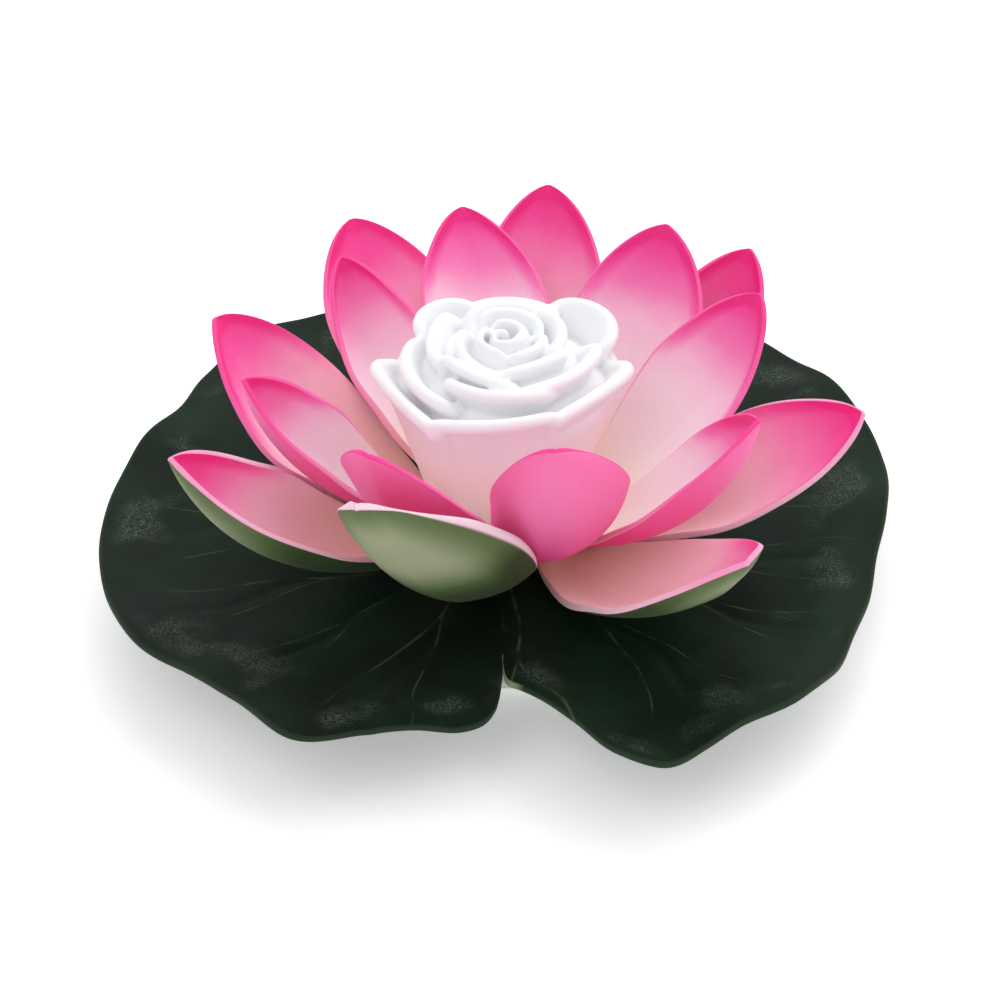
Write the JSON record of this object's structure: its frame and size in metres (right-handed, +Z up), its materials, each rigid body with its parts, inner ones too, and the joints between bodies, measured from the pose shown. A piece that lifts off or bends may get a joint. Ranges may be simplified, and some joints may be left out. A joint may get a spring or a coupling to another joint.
{
  "type": "floating pool light",
  "caption": "Water-lily flower on a lily pad of sheet foam, lit through a rose-shaped diffuser by a sealed battery lamp that floats on a foam ring.",
  "frame": {"origin": "centre of the lamp axis on the flat underside of the lamp case, which is also the bottom centre of the whole object's box", "axes": "+Z up along the lamp axis; -Y towards the slit in the leaf and the power button; +X to the right when seen from the slit side"},
  "size_m": [0.2782, 0.2783, 0.1149],
  "materials": {
    "leaf_foam": "satin",
    "float_foam": "matte",
    "tier_foam": "matte",
    "outer_petal_foam": "matte",
    "inner_petal_foam": "matte",
    "case_plastic": "satin",
    "diffuser_plastic": "satin",
    "cradle_plastic": "satin",
    "seal_rubber": "matte",
    "button_silicone": "matte",
    "switch_plastic": "satin",
    "chip_plastic": "matte",
    "steel": "satin",
    "cell_wrap": "satin",
    "circuit_board": "satin",
    "led_board_mask": "satin",
    "led_epoxy": "gloss",
    "wire_red": "satin",
    "wire_black": "satin"
  },
  "bodies": {
    "root": {"leaf_pad": "leaf_foam", "float_ring": "float_foam", "outer_tier_disc": "tier_foam", "inner_tier_disc": "tier_foam", "outer_petal_1": "outer_petal_foam", "outer_petal_2": "outer_petal_foam", "outer_petal_3": "outer_petal_foam", "outer_petal_4": "outer_petal_foam", "outer_petal_5": "outer_petal_foam", "outer_petal_6": "outer_petal_foam", "outer_petal_7": "outer_petal_foam", "outer_petal_8": "outer_petal_foam", "inner_petal_1": "inner_petal_foam", "inner_petal_2": "inner_petal_foam", "inner_petal_3": "inner_petal_foam", "inner_petal_4": "inner_petal_foam", "inner_petal_5": "inner_petal_foam", "inner_petal_6": "inner_petal_foam", "inner_petal_7": "inner_petal_foam", "inner_petal_8": "inner_petal_foam", "lower_case": "case_plastic", "upper_case": "case_plastic", "clamp_ring": "case_plastic", "rose_diffuser": "diffuser_plastic", "battery_cradle": "cradle_plastic", "case_seal": "seal_rubber", "rose_gasket": "seal_rubber", "switch_body": "switch_plastic", "controller_chip": "chip_plastic", "dropper_resistor": "chip_plastic", "case_screw_1": "steel", "case_screw_2": "steel", "case_screw_3": "steel", "case_screw_4": "steel", "battery_spring_1": "steel", "battery_spring_2": "steel", "battery_spring_3": "steel", "contact_plate_1": "steel", "contact_plate_2": "steel", "contact_plate_3": "steel", "contact_plate_4": "steel", "led_board_screw_1": "steel", "led_board_screw_2": "steel", "cell_1": "cell_wrap", "cell_2": "cell_wrap", "cell_3": "cell_wrap", "control_board": "circuit_board", "led_board": "led_board_mask", "led_1": "led_epoxy", "led_2": "led_epoxy", "led_3": "led_epoxy", "led_wire_red": "wire_red", "battery_lead_red": "wire_red", "led_wire_black": "wire_black", "battery_lead_black": "wire_black"},
    "cover_seal": {"cover_oring": "seal_rubber"},
    "battery_cover": {"battery_cover": "case_plastic"},
    "power_button": {"power_button": "button_silicone", "switch_plunger": "switch_plastic"}
  },
  "joints": [
    {"name": "cover_travel", "type": "slide", "parent": "root", "child": "cover_seal", "axis": [0, 0, -1], "range_m": [0, 0.0026]},
    {"name": "cover_twist", "type": "hinge", "parent": "cover_seal", "child": "battery_cover", "pos_m": [0, 0.006, 0], "axis": [0, 0, -1], "range_deg": [0, 450]},
    {"name": "button_press", "type": "slide", "parent": "root", "child": "power_button", "axis": [0, 0, 1], "range_m": [0, 0.0012], "stiffness_N_per_m": 400, "springref_m": -0.001}
  ],
  "couplings": [
    {"joint": "cover_travel", "follows": "cover_twist", "m_per_rad": 0.00031831}
  ]
}
